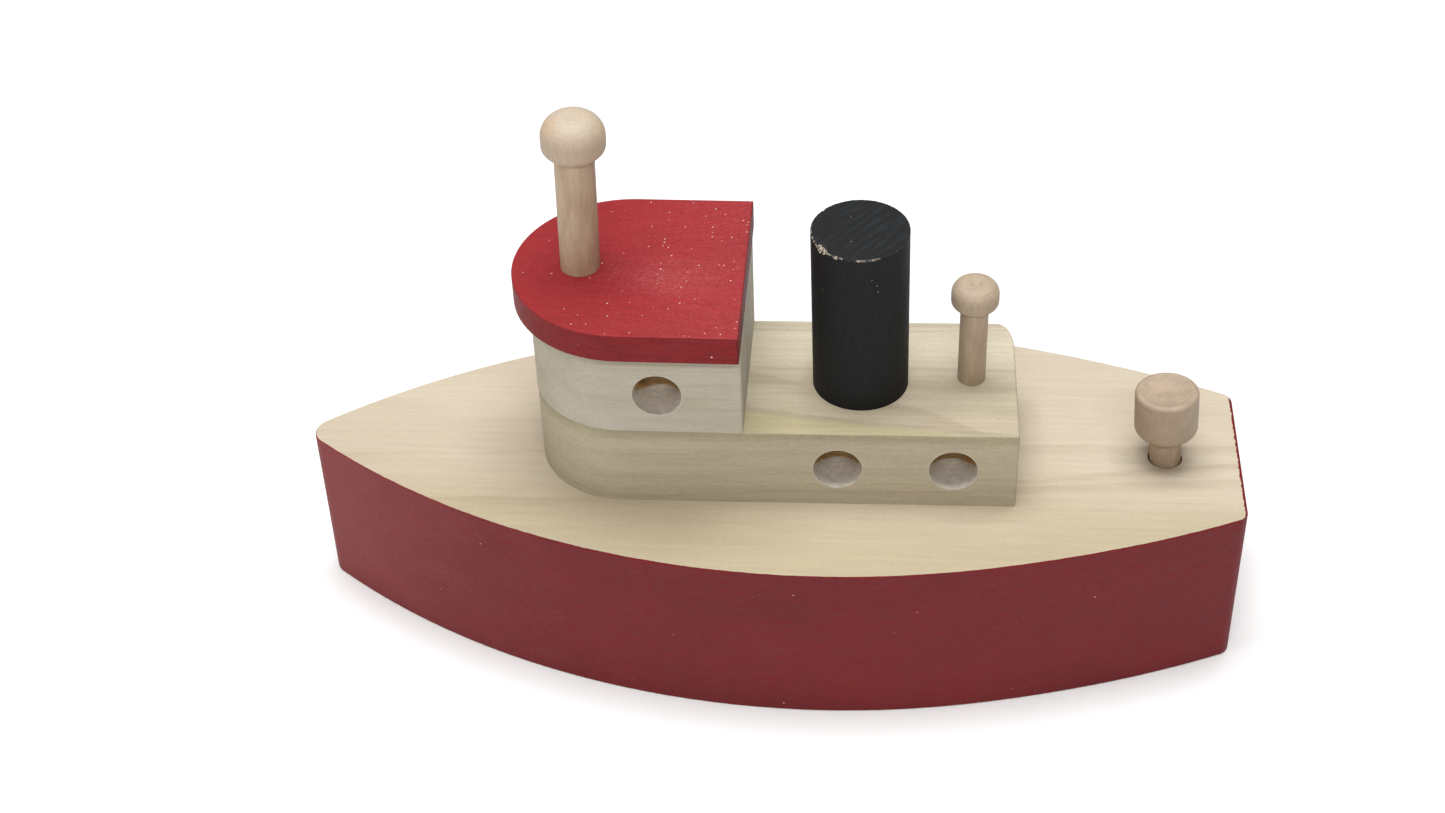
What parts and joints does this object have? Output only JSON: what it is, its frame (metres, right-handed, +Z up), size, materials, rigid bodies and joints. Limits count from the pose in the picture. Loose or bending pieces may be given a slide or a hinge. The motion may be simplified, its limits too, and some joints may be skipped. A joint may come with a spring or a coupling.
{
  "type": "wooden toy tugboat",
  "caption": "Free-standing wooden toy tugboat: plank hull with pointed bow, stacked half-round cabins with round recesses, overhanging roof, leaning funnel, knob-headed masts and a tow bollard.",
  "frame": {"origin": "middle of the hull's flat underside, halfway between the transom and the bow", "axes": "+X towards the bow, +Y to port, +Z up"},
  "size_m": [0.191, 0.079, 0.1173],
  "materials": {
    "hull_red_wood": "matte red paint on the sides, bare deck",
    "cabin_wood": "bare, sanded",
    "roof_red_wood": "matte red paint",
    "funnel_black_wood": "matte black paint",
    "turned_wood": "bare, turned"
  },
  "bodies": {
    "boat": {"hull": "hull_red_wood", "deckhouse": "cabin_wood", "wheelhouse": "cabin_wood", "wheelhouse_roof": "roof_red_wood", "funnel": "funnel_black_wood", "fore_mast": "turned_wood", "aft_post": "turned_wood", "deckhouse_dowels": "turned_wood", "wheelhouse_dowels": "turned_wood"},
    "bollard": {"tow_bollard": "turned_wood"}
  },
  "joints": [
    {"name": "bollard_turn", "type": "hinge", "parent": "boat", "child": "bollard", "pos_m": [-0.0803, 0.0014, 0.0377], "axis": [0.061, -0.0226, 0.9979], "continuous": true}
  ]
}
